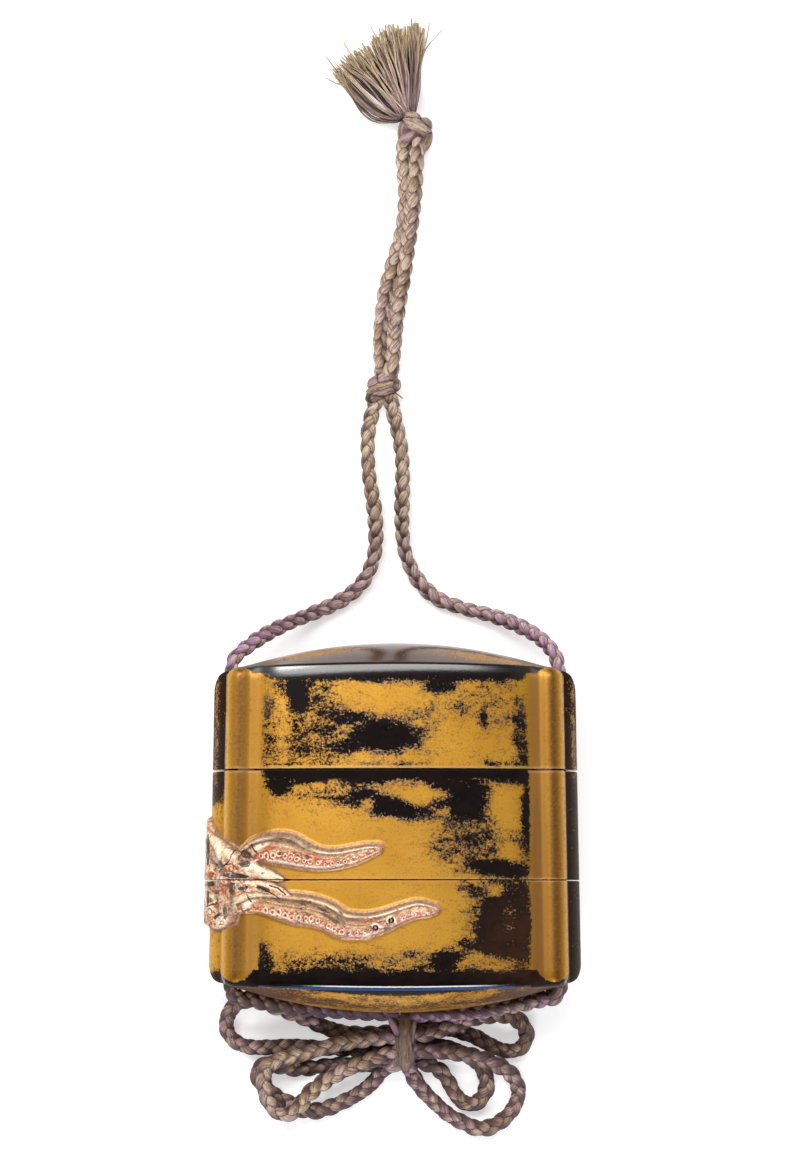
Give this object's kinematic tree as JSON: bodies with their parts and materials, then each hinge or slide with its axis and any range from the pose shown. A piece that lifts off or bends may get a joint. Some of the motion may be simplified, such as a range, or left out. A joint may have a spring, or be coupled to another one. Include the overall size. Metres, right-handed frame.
{
  "type": "inro case",
  "caption": "Small oval lacquer case of stacked hollow tiers with a lid, ribbed sides and raised tentacles, strung on a braided silk cord with a bow and a tassel.",
  "frame": {"origin": "middle of the flat on the back of the case, on the surface that the case lies on", "axes": "+Z out of the front face, +Y from the base of the case to the lid and the tassel, +X to the right of the front face"},
  "size_m": [0.0636, 0.1914, 0.0263],
  "materials": {
    "lid_lacquer": "gloss",
    "upper_case_lacquer": "gloss",
    "lower_case_lacquer": "gloss",
    "braided_silk": "satin",
    "knotted_silk": "satin",
    "frayed_silk": "satin"
  },
  "bodies": {
    "root": {"lid": "lid_lacquer", "upper_case": "upper_case_lacquer", "lower_case": "lower_case_lacquer", "cord_left": "braided_silk", "cord_right": "braided_silk", "cord_pair_left": "braided_silk", "cord_pair_right": "braided_silk", "bow_loop_left_upper": "braided_silk", "bow_loop_left_front": "braided_silk", "bow_loop_left_lower": "braided_silk", "bow_loop_right_upper": "braided_silk", "bow_loop_right_inner": "braided_silk", "bow_loop_right_lower": "braided_silk", "binding_knot": "knotted_silk", "bow_wrap": "knotted_silk", "end_knot": "knotted_silk", "tassel": "frayed_silk"}
  },
  "joints": []
}
